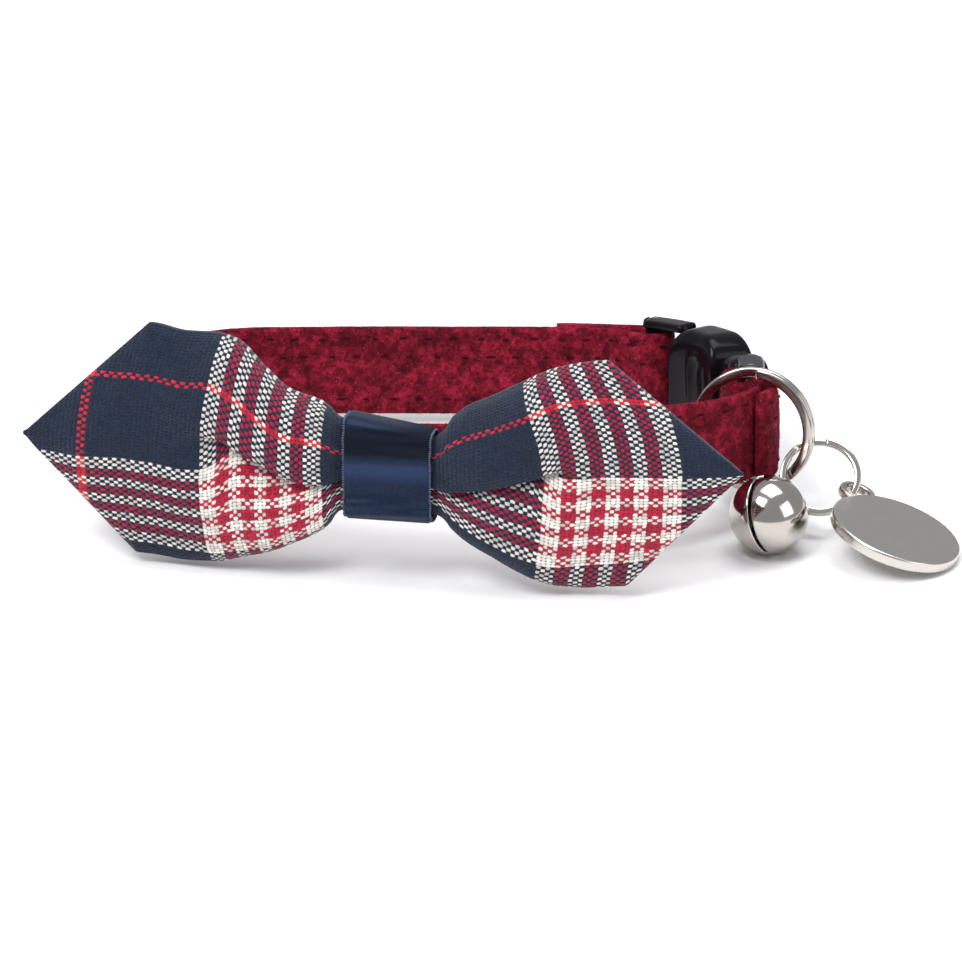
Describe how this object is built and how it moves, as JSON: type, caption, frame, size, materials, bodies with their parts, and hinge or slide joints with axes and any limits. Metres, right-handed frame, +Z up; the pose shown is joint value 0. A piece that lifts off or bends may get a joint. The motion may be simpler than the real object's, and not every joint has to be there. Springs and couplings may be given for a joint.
{
  "type": "cat collar",
  "caption": "Small velvet pet collar loop with a curved side-release buckle, pointed tartan bow tie, split rings, round bell and round tag.",
  "frame": {"origin": "centre of the collar's footprint on the surface that it stands on", "axes": "+Z up, +X to the right of the bow tie as seen from the front, +Y from the bow tie to the back of the loop"},
  "size_m": [0.103, 0.0542, 0.0272],
  "materials": {
    "velvet": "crimson velvet ribbon with a short glittering pile",
    "tartan": "plain-woven cotton tartan in navy, crimson and cream",
    "satin": "navy satin ribbon",
    "plastic": "moulded glossy black plastic",
    "nickel": "polished nickel plate",
    "satin_nickel": "polished nickel plate, softly brushed on the face"
  },
  "bodies": {
    "root": {"strap": "velvet", "bow_tie": "tartan", "bow_band": "satin", "buckle_female": "plastic", "buckle_male": "plastic", "split_ring": "nickel", "small_ring": "nickel", "bell": "nickel", "bell_pea": "nickel", "tag": "satin_nickel"}
  },
  "joints": []
}
